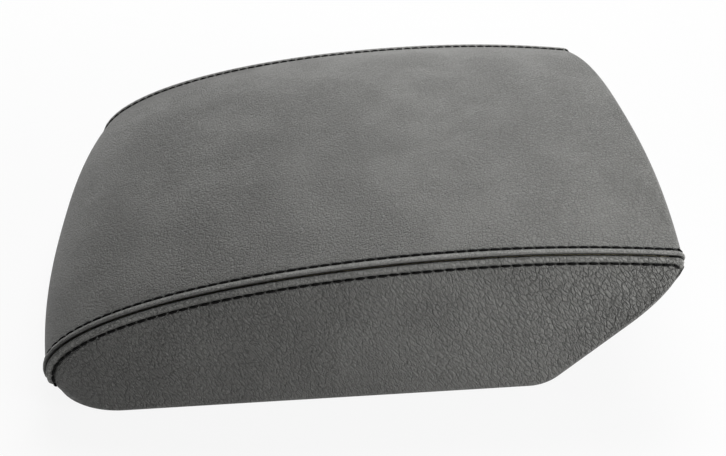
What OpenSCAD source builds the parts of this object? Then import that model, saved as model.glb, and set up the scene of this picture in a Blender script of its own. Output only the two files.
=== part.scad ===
// Car centre armrest: the padded lid of a centre console, with leather panels joined by
// raised double seams, a moulded carrier, an inner liner, a friction hinge and a front latch.
// +X points to the front lip, +Z up, and z = 0 is the plane that the rubber stops rest on.

/* [Padded body] */
// Length from the rear nose to the front lip
length = 308; // [296:1:322]
// Width across the lower edge
width = 230; // [222:1:240]
// Height of the crown of the top panel
height = 94.5; // [90:0.5:100]
// Distance between the two seams along the crown
seam_width = 213; // [207:1:219]
// Height of the seams at their highest point
seam_height = 77.5; // [75:0.5:80]
// Distance of the crown behind the front lip
crown_back = 86; // [74:1:99]
// Height at which the rear nose is fullest
nose_height = 22; // [18:1:28]
// How far the rear nose bows out behind the seams
rear_bow = 10; // [6:1:14]
// How far the front lip bows out ahead of the seams
front_bow = 1.5; // [0:0.5:4]
// Fall of the seam from its crown to the front lip
front_fall = 5; // [2:0.5:8]
// Radius of the edge over the front lip
lip_radius = 4.6; // [3:0.2:6]
// Outward swell of the side panels
side_swell = 1.3; // [0:0.1:3]
// Exponent of the crown across the top: higher is flatter
crown_power = 2.5; // [2:0.1:3]

/* [Underside] */
// Angle of the finger slope under the front lip
slope_angle = 46; // [40:1:50]
// Length of the finger slope in plan
slope_run = 60; // [54:1:66]
// Radius between the flat base and the slope
slope_radius = 20; // [10:1:26]
// Height of the leather rim over the resting plane
rim_z = 1; // [0.5:0.1:2]
// Length of each rear corner of the rim
rear_corner = 37; // [30:1:42]
// Inward run of the seams down the rear nose
rear_inset = 22.5; // [16:0.5:26]
// Length of each front corner of the rim
front_corner = 23; // [16:1:26]

/* [Leather and foam] */
// Thickness of the leather
leather_t = 1.6; // [1.2:0.1:2]
// Height of the two rolled ridges beside each seam
ridge_h = 1; // [0.6:0.1:1.4]
// Width of one rolled ridge
ridge_w = 4.4; // [3.6:0.1:5]
// Length of one stitch with its gap
stitch_pitch = 5.1; // [4:0.1:7]
// Share of the pitch that the thread shows
stitch_share = 0.7; // [0.5:0.05:0.8]
// Thickness of the sewing thread
thread_d = 0.8; // [0.6:0.1:1]
// Length of the leather turned in under the rim
hem_l = 13; // [11:0.5:14]

/* [Carrier and liner] */
// Wall of the moulded carrier
wall = 3; // [2:0.2:3.6]
// Distance of the carrier's walls from the rim
carrier_inset = 14; // [12:1:16]
// Least distance of the carrier's side walls inside the seams
carrier_side = 5.5; // [4:0.5:8]
// Height of the carrier's top plate
carrier_z = 68; // [66:0.5:69]
// Thickness of the inner liner
liner_t = 2.2; // [1.8:0.1:2.6]
// Depth of the liner behind the leather rim
liner_recess = 2.2; // [1.8:0.1:2.6]
// Flat left between the dished recess and its neighbours along the length
dish_gap = 15; // [12:1:20]
// Flat left between the dished recess and the screws beside it
dish_side = 20; // [16:1:26]
// Depth of the dished recess
dish_d = 14; // [8:1:18]
// Diameter of the rubber stops
stop_d = 13; // [10:0.5:15]

/* [Hinge] */
// Thickness of the hinge leaves
leaf_t = 2; // [1.6:0.2:2.4]
// Diameter of the hinge pin
hinge_pin_d = 6; // [5:0.5:7]
// Width of the leaf on the console
console_leaf_w = 84; // [78:1:88]
// Distance of the hinge pin from the rear nose
hinge_inset = 26; // [24:0.5:28]
// Spacing of the console bolts along the length
bolt_dx = 20; // [16:1:22]
// Spacing of the console bolts across the width
bolt_dy = 60; // [56:1:64]
// Diameter of the console bolt holes
bolt_hole_d = 6.6; // [5.4:0.2:6.8]

/* [Latch] */
// Diameter of the latch pin
latch_pin_d = 4; // [3:0.5:4.5]
// Width of the release paddle
paddle_w = 40; // [34:1:44]
// Wire of the latch spring
spring_wire = 1; // [0.8:0.1:1.2]

/* [Hidden] */
$fn = 48;

// Colours
leather_c = [0.33, 0.33, 0.31];
thread_c = [0.05, 0.05, 0.05];
foam_c = [0.85, 0.82, 0.7];
plastic_c = [0.13, 0.13, 0.14];
steel_c = [0.66, 0.67, 0.68];
rubber_c = [0.08, 0.08, 0.08];
acetal_c = [0.88, 0.87, 0.83];

// Running clearance, seating clearance, and a length that cuts right through
run = 0.05;
seat = 0.3;
far = 400;

// Ends of the seams and of the crown line along X
half_l = length/2;
half_w = width/2;
seam_rear = -half_l + rear_bow;
seam_front = half_l - front_bow;
crown_x = half_l - crown_back;
slope_x = half_l - slope_run;
hinge_back = half_l - hinge_inset;
side_lean = half_w - seam_width/2;
rear_tuck = 3.5;
seam_lean = 3;
front_inset = 2.5;

// The rim is rolled: [inset from the wall, height off the rim plane]
rim_lift = 3.5;
hem_d = liner_recess + liner_t + 0.4;
rim_roll = [[1, 0.9], [3, 0], [5.5, 1.8], [8, hem_d], [hem_l, hem_d]];
roll_ridge = [1, 1, 0.5, 0, 0];

// Flat base and slope, moved inwards by d
slope_tan = tan(slope_angle);
arc_x = slope_x - slope_radius*tan(slope_angle/2);
arc_z = rim_z + slope_radius;
function floor_z(x, d) =
    x <= arc_x ? rim_z + d :
    x < arc_x + (slope_radius - d)*sin(slope_angle)
        ? arc_z - sqrt(pow(slope_radius - d, 2) - pow(x - arc_x, 2))
        : rim_z + (x - slope_x)*slope_tan + d/cos(slope_angle);
function floor_line(d) = concat(
    [[-far, rim_z + d]],
    [for (k = [0:6]) let (a = slope_angle*k/6)
        [arc_x + (slope_radius - d)*sin(a), arc_z - (slope_radius - d)*cos(a)]],
    [[far, floor_z(far, d)]]);

// Side outline of the padded top as points [x, z], from the rear rim to the front rim
rise_n = 5;
back_n = 14;
edge_n = 4;
lip_n = 2;
corner_n = 4;
// Stations from the crown to the lip crowd together where the rim turns up the slope
seam_back_x = crown_x - (crown_x - seam_rear)*cos(90*corner_n/back_n);
seam_lip_x = seam_front - lip_radius;
rim_back_x = seam_rear - seam_lean + rear_corner;
rim_lip_x = seam_front - front_corner;
function rim_t(x) = (seam_back_x + (x - rim_back_x)*(seam_lip_x - seam_back_x)/(rim_lip_x - rim_back_x) - crown_x)
    /(seam_lip_x - crown_x);
turn_a = rim_t(arc_x);
turn_b = rim_t(arc_x + slope_radius*sin(slope_angle));
front_t = concat([0, turn_a/2], [for (k = [0:4]) turn_a + (turn_b - turn_a)*k/4],
    [for (k = [1, 2]) turn_b + (1 - turn_b)*k/3]);
function outline_points(rear, tuck, front, top, foot) = concat(
    [for (k = [0:rise_n - 1]) let (t = k/rise_n, low = rim_z + rim_lift)
        [rear + tuck*pow(1 - t, 2), low + (nose_height - low)*t]],
    [for (k = [0:back_n - 1]) let (a = 90*k/back_n)
        [crown_x - (crown_x - rear)*cos(a), nose_height + (top - nose_height)*sin(a)]],
    [for (t = front_t)
        [crown_x + (front - lip_radius - crown_x)*t, top - front_fall*t*t]],
    [for (k = [0:edge_n - 1]) let (a = 90 - 90*k/edge_n)
        [front - lip_radius + lip_radius*cos(a), top - front_fall - lip_radius + lip_radius*sin(a)]],
    [for (k = [0:lip_n]) let (t = k/lip_n)
        [front, (top - front_fall - lip_radius)*(1 - t) + foot*t]]);
seam_xz = outline_points(seam_rear, -seam_lean, seam_front, seam_height, floor_z(seam_front, rim_lift));
crown_xz = outline_points(-half_l, rear_tuck, half_l, height, floor_z(half_l, rim_lift));
n = len(seam_xz);
end_n = edge_n + lip_n;
function seam_y(i) = seam_width/2
    - (i < rise_n ? rear_inset*pow(1 - i/rise_n, 2) : 0)
    - (i > n - 1 - end_n ? front_inset*pow((i - (n - 1 - end_n))/end_n, 2) : 0);
seam = [for (i = [0:n - 1]) [seam_xz[i][0], -seam_y(i), seam_xz[i][1]]];

// Rim of the side panel: rear corner, straight side, front corner
corner_start = 15;
k1 = rise_n + corner_n;
k2 = n - 1 - end_n;
rear_hub = [seam[0][0] + rear_corner, seam[0][1]];
front_hub = [seam[n - 1][0] - front_corner, seam[n - 1][1]];
function rim_xy(i) =
    i <= k1 ? let (a = corner_start + (90 - corner_start)*i/k1)
        [rear_hub[0] - rear_corner*cos(a), rear_hub[1] - (half_w + rear_hub[1])*sin(a)] :
    i >= k2 ? let (a = (90 - corner_start)*(i - k2)/(n - 1 - k2))
        [front_hub[0] + front_corner*sin(a), front_hub[1] - (half_w + front_hub[1])*cos(a)] :
    [rear_hub[0] + (front_hub[0] - rear_hub[0])*(seam[i][0] - seam[k1][0])/(seam[k2][0] - seam[k1][0]), -half_w];
rim = [for (i = [0:n - 1]) let (p = rim_xy(i)) [p[0], p[1], floor_z(p[0], rim_lift)]];
// Direction in which the hem turns in at each station
turn_hub = [front_hub[0], -half_w + 30];
function turn_in(i) =
    let (d = i <= k1 ? rear_hub - rim_xy(i) : i >= k2 ? turn_hub - rim_xy(i) : [0, 1])
    d/norm(d);

// Profile across one ridge: [distance from the seam, height of the leather]
groove_w = 0.06;
ridge = [[groove_w + 0.5, 0.35*ridge_h], [0.28*ridge_w, 0.9*ridge_h], [0.6*ridge_w, ridge_h],
    [0.88*ridge_w, 0.45*ridge_h], [ridge_w + 0.5, -0.3], [ridge_w + 1.6, 0]];
ridge_n = len(ridge);
groove_d = 0.9;

// Top panel: v runs from the right seam, -1, to the left seam, 1
inner_v = [0.86, 0.7, 0.5, 0.26];
function seam_share(i, w) = 1 - w/seam_y(i);
// The back of the leather keeps clear of the mitre at the seam
function back_w(k) = max(ridge[k][0], leather_t + 0.4 + 0.3*k);
outer_w = [for (r = ridge) r[0]];
inner_w = [for (k = [0:ridge_n - 1]) back_w(k)];
function row_v(i, ws) = let (
    side = concat([seam_share(i, groove_w)], [for (w = ws) seam_share(i, w)], inner_v))
    concat([for (v = side) -v], [0], [for (k = [len(side) - 1:-1:0]) side[k]]);
lift_row = let (side = concat([0], [for (r = ridge) r[1]], [for (v = inner_v) 0]))
    concat(side, [0], [for (k = [len(side) - 1:-1:0]) side[k]]);
function top_point(i, v) = let (s = pow(abs(v), crown_power))
    [crown_xz[i][0]*(1 - s) + seam[i][0]*s, v*seam_y(i), crown_xz[i][1]*(1 - s) + seam[i][2]*s];
function top_row(i, ws) = [for (v = row_v(i, ws)) top_point(i, v)];
// The hem is mitred at the front corners
function hem_row(i, ws, way, roll) = [for (p = top_row(i, ws)) let (x = p[0] + way*roll[0])
    [x, p[1]*(way > 0 ? 1 : 1 - roll[0]/seam_y(i)), floor_z(x, roll[1])]];
hem_n = len(rim_roll);
function top_rows(ws) = concat(
    [for (k = [hem_n - 1:-1:0]) hem_row(0, ws, 1, rim_roll[k])],
    [for (i = [0:n - 1]) top_row(i, ws)],
    [for (k = [0:hem_n - 1]) hem_row(n - 1, ws, -1, rim_roll[k])]);
top_grid = top_rows(outer_w);
top_back = top_rows(inner_w);
top_fade = concat([for (k = [hem_n - 1:-1:0]) roll_ridge[k]], [for (i = [0:n - 1]) 1], roll_ridge);

// Right side panel: from the seam down to the rim, then the turned in hem
wall_t = [0.2, 0.45, 0.72, 1];
function side_point(i, t) = let (h = norm(rim[i] - seam[i]), d = turn_in(i),
    s = side_swell*4*t*(1 - t)*min(1, h/60))
    seam[i]*(1 - t) + rim[i]*t - s*[d[0], d[1], 0];
function side_row(i, ws) = let (h = norm(rim[i] - seam[i]), w0 = ws[ridge_n - 1], d = turn_in(i)) concat(
    [side_point(i, groove_w/h)],
    [for (w = ws) side_point(i, w/h)],
    [for (t = wall_t) side_point(i, (w0 + (h - w0)*t)/h)],
    [for (r = rim_roll) let (x = rim[i][0] + d[0]*r[0])
        [x, rim[i][1] + d[1]*r[0], floor_z(x, r[1])]]);
side_grid = [for (i = [0:n - 1]) side_row(i, outer_w)];
side_back = [for (i = [0:n - 1]) side_row(i, inner_w)];
side_lift = concat([0], [for (r = ridge) r[1]], [for (t = wall_t) 0], [for (r = rim_roll) 0]);

// Outward normals of a grid, from its neighbours
function unit(v) = v/norm(v);
function grid_normals(g, way) = let (r = len(g) - 1, c = len(g[0]) - 1)
    [for (i = [0:r]) [for (j = [0:c])
        way*unit(cross(g[min(i + 1, r)][j] - g[max(i - 1, 0)][j], g[i][min(j + 1, c)] - g[i][max(j - 1, 0)]))]];
top_normals = grid_normals(top_grid, 1);
side_normals = grid_normals(side_grid, -1);
// Both panels dive into the seam along the line halfway between them
function seam_dive(i) = unit(top_normals[i + hem_n][0] + side_normals[i][0]);
function flip_y(v) = [v[0], -v[1], v[2]];
function top_dive(i) = let (k = i < hem_n ? 0 : i - hem_n >= n ? n - 1 : i - hem_n,
    d = seam_dive(k)) i < hem_n || i - hem_n >= n ? unit(d + 2*top_normals[i][0]) : d;

function flat(a) = [for (r = a) for (p = r) p];
// Closed skin between an outer grid and an inner grid
module skin(outer, inner, turned = false) {
    r = len(outer);
    c = len(outer[0]);
    m = r*c;
    faces = concat(
        [for (i = [0:r - 2]) for (j = [0:c - 2]) let (a = i*c + j, b = a + c)
            each [[a, a + 1, b + 1], [a, b + 1, b]]],
        [for (i = [0:r - 2]) for (j = [0:c - 2]) let (a = m + i*c + j, b = a + c)
            each [[a, b + 1, a + 1], [a, b, b + 1]]],
        [for (i = [0:r - 2]) let (a = i*c, b = a + c) each [[a, b, b + m], [a, b + m, a + m]]],
        [for (i = [0:r - 2]) let (a = i*c + c - 1, b = a + c) each [[a, a + m, b + m], [a, b + m, b]]],
        [for (j = [0:c - 2]) each [[j + 1, j, j + m], [j + 1, j + m, j + 1 + m]]],
        [for (j = [0:c - 2]) let (a = (r - 1)*c + j) each [[a, a + 1, a + 1 + m], [a, a + 1 + m, a + m]]]);
    polyhedron(concat(flat(outer), flat(inner)),
        turned ? [for (f = faces) [f[0], f[2], f[1]]] : faces, convexity = 6);
}

module top_cover() {
    c = len(lift_row) - 1;
    outer = [for (i = [0:len(top_grid) - 1]) [for (j = [0:c])
        j == 0 ? top_grid[i][j] - groove_d*top_fade[i]*top_dive(i) :
        j == c ? top_grid[i][j] - groove_d*top_fade[i]*flip_y(top_dive(i)) :
        top_grid[i][j] + lift_row[j]*top_fade[i]*top_normals[i][j]]];
    inner = [for (i = [0:len(top_grid) - 1]) [for (j = [0:c])
        j == 0 ? top_grid[i][j] - (leather_t + groove_d*top_fade[i])*top_dive(i) :
        j == c ? top_grid[i][j] - (leather_t + groove_d*top_fade[i])*flip_y(top_dive(i)) :
        top_back[i][j] - leather_t*top_normals[i][j]]];
    color(leather_c) skin(outer, inner);
}

module side_cover() {
    outer = [for (i = [0:n - 1]) [for (j = [0:len(side_lift) - 1])
        j == 0 ? side_grid[i][j] - groove_d*seam_dive(i) :
        side_grid[i][j] + side_lift[j]*side_normals[i][j]]];
    inner = [for (i = [0:n - 1]) [for (j = [0:len(side_lift) - 1])
        j == 0 ? side_grid[i][j] - (leather_t + groove_d)*seam_dive(i) :
        side_back[i][j] - leather_t*side_normals[i][j]]];
    color(leather_c) skin(outer, inner, true);
}

// Rounded outline of the rim in plan, moved inwards by d
plan_rear = seam_rear - seam_lean;
plan_front = seam_front;
rear_r = 33;
front_r = 18;
module plan(d, side = 0) {
    w = half_w - d - side;
    translate([plan_rear + rear_r, -w])
        square([plan_front - front_r - plan_rear - rear_r, 2*w]);
    for (e = [[plan_rear, rear_r, 1], [plan_front, front_r, -1]]) {
        x = e[0] + e[2]*d;
        hub = e[0] + e[2]*e[1];
        y = half_w - side - e[1];
        translate([min(x, hub), -y]) square([abs(hub - x), 2*y]);
        for (s = [-1, 1]) translate([hub, s*y]) circle(e[1] - d);
    }
}
// Sheet between two depths behind the rim plane, along the base and up the slope
module band(d1, d2) {
    b = floor_line(d2);
    rotate([90, 0, 0]) linear_extrude(far, center = true)
        polygon(concat(floor_line(d1), [for (k = [len(b) - 1:-1:0]) b[k]]));
}
module above_floor(d) {
    rotate([90, 0, 0]) linear_extrude(far, center = true)
        polygon(concat(floor_line(d), [[far, far], [-far, far]]));
}
// A place on the underside, turned square to it, at a depth behind the rim plane
module on_floor(x, y, d) {
    translate([x, y, floor_z(x, 0)]) rotate([0, x > slope_x ? -slope_angle : 0, 0]) translate([0, 0, d]) children();
}

// Envelope of the carrier: a long arc over the top, a round nose, upright sides
top_r = 640;
nose_r = 44;
nose_x = -half_l + 64;
nose_z = 4;
carrier_front = half_l - 12;
carrier_half_w = min(half_w - carrier_inset, seam_width/2 - carrier_side);
flange_d = hem_d + leather_t + 0.5;
flange_t = 2.8;
flange_inset = leather_t + seat + max(0, side_lean)*(flange_d + flange_t)/seam_height;
module carrier_envelope(d) {
    intersection() {
        linear_extrude(height) plan(carrier_inset + d, half_w - carrier_inset - carrier_half_w);
        translate([crown_x, 0, carrier_z - top_r]) rotate([90, 0, 0])
            cylinder(h = width, r = top_r - d, center = true, $fn = 180);
        union() {
            translate([nose_x, 0, nose_z]) rotate([90, 0, 0])
                cylinder(h = width, r = nose_r - d, center = true, $fn = 96);
            translate([nose_x, -half_w, 0]) cube([carrier_front - d - nose_x, width, height]);
        }
        above_floor(flange_d);
    }
}

// Screws of the liner and of the latch: [x, y]
liner_rear = -hinge_back + 30;
liner_front = slope_x - 42;
liner_side = carrier_half_w - 15;
liner_points = [for (s = [-1, 1]) for (x = [liner_rear, (liner_rear + liner_front)/2, liner_front, slope_x + 28])
    [x, s*liner_side]];
screw_r = 2;
screw_head_r = 4;
screw_head_h = 1.4;
screw_l = 12;
screw_slot_l = 4.4;
boss_r = 4.6;

// Sizes of the latch's bay, from the foot of the slope
slot_x = [slope_x - 17, slope_x + 8];
slot_w = 34;
paddle_x = [slope_x + 8, slope_x + 37];
cheek = [24, 26.4];
latch_screw_l = 9;
latch_boss_h = 10;
latch_points = [for (s = [-1, 1]) for (x = [slope_x - 14, slope_x + 26]) [x, s*(cheek[1] + boss_r + 2)]];

// Hinge sizes
pin_r = hinge_pin_d/2;
bush_t = 0.8;
barrel_r = pin_r + bush_t + leaf_t;
hinge_z = barrel_r;
leaf_top = 2*barrel_r;
leaf_front = -hinge_back + 47;
lid_barrel_w = 37;
ring_gap = 2;
console_barrel_w = (console_leaf_w - lid_barrel_w)/2 - ring_gap;
lid_leaf_w = 76;
pocket_rear = -half_l + 17;
pocket_front = leaf_front + 5;
pocket_w = console_leaf_w + 12;
shelf_t = 3;
leaf_screw_points = [for (s = [-1, 1]) each [[-hinge_back + 18, s*12], [-hinge_back + 40, s*28]]];
bolt_x = -hinge_back + 27;

// Outline of the flange: it narrows towards the lip, where the side panels lean in
module flange_plan(d) {
    y = [half_w, half_w, seam_width/2 + 1, seam_width/2 - 12];
    x = [-far, slope_x - 12, plan_front - 26, plan_front];
    intersection() {
        plan(d);
        polygon(concat([for (k = [0:3]) [x[k], y[k] - d]], [for (k = [3:-1:0]) [x[k], d - y[k]]]));
    }
}
module lid_shell() {
    color(plastic_c) difference() {
        union() {
            difference() {
                carrier_envelope(0);
                difference() {
                    carrier_envelope(wall);
                    carrier_ribs();
                    carrier_bosses();
                    hinge_shelf();
                }
            }
            intersection() {
                band(flange_d, flange_d + flange_t);
                linear_extrude(height) difference() {
                    flange_plan(flange_inset);
                    plan(carrier_inset + wall);
                }
            }
            intersection() {
                band(flange_d - 1.6, flange_d + 0.1);
                linear_extrude(height) for (s = [-1, 1])
                    translate([plan_rear + rear_r, s*(half_w - 5.2) - 0.9]) square([arc_x - plan_rear - rear_r, 1.8]);
            }
        }
        // The carrier stays open below, apart from shelf and bosses
        translate([pocket_rear, -pocket_w/2, -1]) cube([pocket_front - pocket_rear, pocket_w, leaf_top + 1]);
        for (p = liner_points) on_floor(p[0], p[1], -1) cylinder(h = screw_l + liner_recess + 3, r = screw_r + run);
        for (p = leaf_screw_points) translate([p[0], p[1], leaf_top - 1]) cylinder(h = screw_l, r = screw_r + run);
        for (p = latch_points) on_floor(p[0], p[1], 0) cylinder(h = 8, r = boss_r);
    }
}
// Ribs under the top plate, clear of the liner's dish and of the latch
rib_t = 2.2;
rib_h = 13;
rib_pitch = [40, 32];
module carrier_ribs() {
    intersection() {
        difference() {
            translate([crown_x, 0, carrier_z - top_r]) rotate([90, 0, 0])
                cylinder(h = width, r = top_r, center = true, $fn = 180);
            translate([crown_x, 0, carrier_z - top_r]) rotate([90, 0, 0])
                cylinder(h = width + 2, r = top_r - wall - rib_h, center = true, $fn = 180);
        }
        difference() {
            union() {
                for (k = [-2:2]) translate([-far/2, k*rib_pitch[1] - rib_t/2, 0]) cube([far, rib_t, height]);
                for (k = [-2.5:2.5]) translate([k*rib_pitch[0] - rib_t/2, -half_w, 0]) cube([rib_t, width, height]);
            }
            translate([slot_x[0] - 8, -cheek[1] - 12, 0]) cube([far, 2*cheek[1] + 24, height]);
        }
    }
}
module carrier_bosses() {
    for (p = liner_points) {
        on_floor(p[0], p[1], liner_recess + liner_t) {
            cylinder(h = p[0] > slope_x ? 18 : height, r = boss_r);
            translate([-rib_t/2, p[1] > 0 ? 0 : -20, p[0] > slope_x ? 4 : 6])
                cube([rib_t, 20, p[0] > slope_x ? 13 : 24]);
        }
    }
}
module hinge_shelf() {
    translate([pocket_rear, -pocket_w/2 - rib_t, leaf_top])
        cube([pocket_front + rib_t - pocket_rear, pocket_w + 2*rib_t, shelf_t]);
    for (y = [-pocket_w/2 - rib_t, -pocket_w/3 - rib_t/2, -rib_t/2, pocket_w/3 - rib_t/2, pocket_w/2])
        translate([pocket_rear, y, leaf_top]) cube([pocket_front + rib_t - pocket_rear, rib_t, height]);
    for (p = leaf_screw_points) translate([p[0], p[1], leaf_top]) cylinder(h = screw_l + 2, r = boss_r);
}

// Foam between the leather and the carrier
foam_gap = leather_t + 0.4;
foam_cols = concat([for (t = [1, 0.6, 0.3]) [0, t]], [[2, 0]], [for (v = [0.8, 0.55, 0.28]) [1, v]]);
function foam_point(i, c) = c[0] == 0 ? side_point(i, c[1]) : c[0] == 1 ? top_point(i, -c[1]) : seam[i];
foam_i = concat([for (i = [1:k2]) i], [k2 + 2]);
foam_n = len(foam_i);
foam_half = [for (i = foam_i) [for (c = foam_cols) foam_point(i, c)]];
foam_rows = [for (r = foam_half) concat(r, [for (k = [len(r) - 1:-1:0]) flip_y(r[k])])];
foam_normals = grid_normals(foam_rows, 1);
foam_edge = len(foam_cols) - 4;
module foam_pad() {
    m = len(foam_rows[0]);
    pts = [for (i = [0:foam_n - 1]) for (j = [0:m - 1])
        let (d = j == foam_edge || j == m - 1 - foam_edge ? 1.9*foam_gap : foam_gap)
        foam_rows[i][j] - d*foam_normals[i][j]];
    faces = concat(
        [for (i = [0:foam_n - 2]) for (j = [0:m - 1]) let (a = i*m + j, b = i*m + (j + 1) % m)
            each [[a, b, b + m], [a, b + m, a + m]]],
        [for (j = [0:m/2 - 2]) let (k = m - 1 - j) each [[j, k, k - 1], [j, k - 1, j + 1]]],
        [for (j = [0:m/2 - 2]) let (a = (foam_n - 1)*m + j, b = foam_n*m - 1 - j) each [[a, b - 1, b], [a, a + 1, b - 1]]]);
    color(foam_c) difference() {
        polyhedron(pts, faces, convexity = 6);
        carrier_envelope(-seat);
        rotate([90, 0, 0]) linear_extrude(far, center = true)
            polygon(concat(floor_line(flange_d + flange_t + seat), [[far, -far], [-far, -far]]));
    }
}

window_gap = 1.2;
module liner_panel() {
    color(plastic_c) difference() {
        union() {
            intersection() {
                band(liner_recess, liner_recess + liner_t);
                linear_extrude(height) plan(8.4);
            }
            dish(liner_t, dish_d + liner_t);
        }
        dish(0, dish_d, 1);
        translate([-half_l, -pocket_w/2, -1]) cube([pocket_front + half_l, pocket_w, 2*leaf_top]);
        translate([slot_x[0], -slot_w/2, -1]) cube([slot_x[1] - slot_x[0], slot_w, 20]);
        lever_side([for (c = [[-1, -5], [1, -5], [1, 9], [-1, 9]])
            on_slope(c[0] < 0 ? paddle_x[0] + 2 - window_gap : paddle_x[1] + window_gap, c[1])],
            -paddle_w/2 - window_gap, paddle_w/2 + window_gap);
        for (p = concat(liner_points, latch_points)) on_floor(p[0], p[1], liner_recess) {
            translate([0, 0, -1]) cylinder(h = liner_t + 2, r = screw_r + 0.3);
            translate([0, 0, -1]) cylinder(h = 1 + screw_head_h*0.6, r = screw_head_r + 0.3);
        }
        for (p = stop_points) translate([p[0], p[1], 0]) cylinder(h = 10, r = stop_stem_r + run);
    }
}
// Round cornered tray of the dish, grown by g, from the liner's face up to h
dish_r = 18;
dish_x = [pocket_front + dish_gap, slot_x[0] - dish_gap];
module dish(g, h, under = 0) {
    r = dish_r + g;
    w = liner_side - dish_side - dish_r;
    l = (dish_x[1] - dish_x[0])/2 - dish_r;
    translate([(dish_x[0] + dish_x[1])/2, 0, rim_z + liner_recess - under]) {
        translate([-l, -w - r, 0]) cube([2*l, 2*w + 2*r, h + under]);
        translate([-l - r, -w, 0]) cube([2*l + 2*r, 2*w, h + under]);
        for (sx = [-1, 1]) for (sy = [-1, 1]) translate([sx*l, sy*w, 0]) cylinder(h = h + under, r = r);
    }
}

// A pan head screw, head outwards, with a cross slot
module screw(l) {
    difference() {
        union() {
            translate([0, 0, -screw_head_h]) cylinder(h = screw_head_h, r = screw_head_r);
            cylinder(h = l, r = screw_r);
        }
        for (a = [0, 90]) rotate(a) translate([-screw_slot_l/2, -0.4, -screw_head_h - 1]) cube([screw_slot_l, 0.8, 1.8]);
    }
}
module liner_screws() {
    color(steel_c) for (p = liner_points) on_floor(p[0], p[1], liner_recess + screw_head_h*0.6) screw(screw_l);
}
module latch_screws() {
    color(steel_c) for (p = latch_points) on_floor(p[0], p[1], liner_recess + screw_head_h*0.6)
        screw(latch_screw_l);
}
module hinge_lid_screws() {
    color(steel_c) for (p = leaf_screw_points) translate([p[0], p[1], leaf_top - leaf_t]) screw(screw_l - 2);
}

// Rubber stops pushed through the liner
stop_side = half_w - 38;
stop_points = [for (x = [-half_l + 38, slope_x - 24]) for (s = [1, -1]) [x, s*stop_side]];
stop_stem_r = 2.6;
module stop(k) {
    top = rim_z + liner_recess;
    color(rubber_c) translate([stop_points[k][0], stop_points[k][1], 0]) {
        cylinder(h = 0.8, r1 = stop_d/2 - 0.8, r2 = stop_d/2);
        translate([0, 0, 0.8]) cylinder(h = top - 0.8, r = stop_d/2);
        translate([0, 0, top]) cylinder(h = liner_t, r = stop_stem_r);
        translate([0, 0, top + liner_t]) cylinder(h = 2.4, r1 = stop_stem_r + 1, r2 = stop_stem_r - 0.6);
    }
}

module along_y(y0, y1, x, z) {
    translate([x, y0, z]) rotate([-90, 0, 0]) linear_extrude(y1 - y0) children();
}
// Leaf with round front corners, its plate from z0 upwards
module leaf_plate(w, z0) {
    r = 6;
    translate([-hinge_back, -w/2, z0]) cube([leaf_front - r + hinge_back, w, leaf_t]);
    translate([leaf_front - r, -w/2 + r, z0]) cube([r, w - 2*r, leaf_t]);
    for (s = [-1, 1]) translate([leaf_front - r, s*(w/2 - r), z0]) cylinder(h = leaf_t, r = r);
}
module hinge_console_leaf() {
    y0 = lid_barrel_w/2 + ring_gap;
    color(steel_c) difference() {
        union() {
            leaf_plate(console_leaf_w, 0);
            for (s = [-1, 1]) along_y(s > 0 ? y0 : -y0 - console_barrel_w, s > 0 ? y0 + console_barrel_w : -y0,
                -hinge_back, hinge_z) circle(barrel_r);
        }
        // Room for the barrel of the other leaf
        translate([-hinge_back - far/2, -y0, -1]) cube([far/2 + barrel_r + 1, 2*y0, far]);
        along_y(-far, far, -hinge_back, hinge_z) circle(pin_r + 0.02);
        for (sx = [-1, 1]) for (sy = [-1, 1]) translate([bolt_x + sx*bolt_dx/2, sy*bolt_dy/2, -1])
            cylinder(h = leaf_t + 2, r = bolt_hole_d/2);
    }
}
module hinge_lid_leaf() {
    w = lid_barrel_w/2;
    color(steel_c) difference() {
        union() {
            leaf_plate(lid_leaf_w, leaf_top - leaf_t);
            along_y(-w, w, -hinge_back, hinge_z) circle(barrel_r);
        }
        for (s = [-1, 1]) translate([-hinge_back - far/2, s > 0 ? w : -w - far, -1])
            cube([far/2 + barrel_r + 1, far, far]);
        along_y(-far, far, -hinge_back, hinge_z) circle(pin_r + bush_t + 0.03);
        for (p = leaf_screw_points) translate([p[0], p[1], 0]) cylinder(h = far, r = screw_r + 0.2);
        for (sx = [-1, 1]) for (sy = [-1, 1]) translate([bolt_x + sx*bolt_dx/2, sy*bolt_dy/2, 0])
            cylinder(h = far, r = bolt_hole_d/2 + 2);
    }
}
pin_end = console_leaf_w/2 + 2.4;
module hinge_pin() {
    color(steel_c) difference() {
        union() {
            along_y(-pin_end, console_leaf_w/2 + 0.1, -hinge_back, hinge_z) circle(pin_r);
            along_y(console_leaf_w/2 + 0.1, console_leaf_w/2 + 1.7, -hinge_back, hinge_z) circle(pin_r + 1.6);
        }
        along_y(-console_leaf_w/2 - 1.2, -console_leaf_w/2 - 0.2, -hinge_back, hinge_z) difference() {
            circle(pin_r + 1);
            circle(pin_r - 0.6);
        }
    }
}
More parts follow.
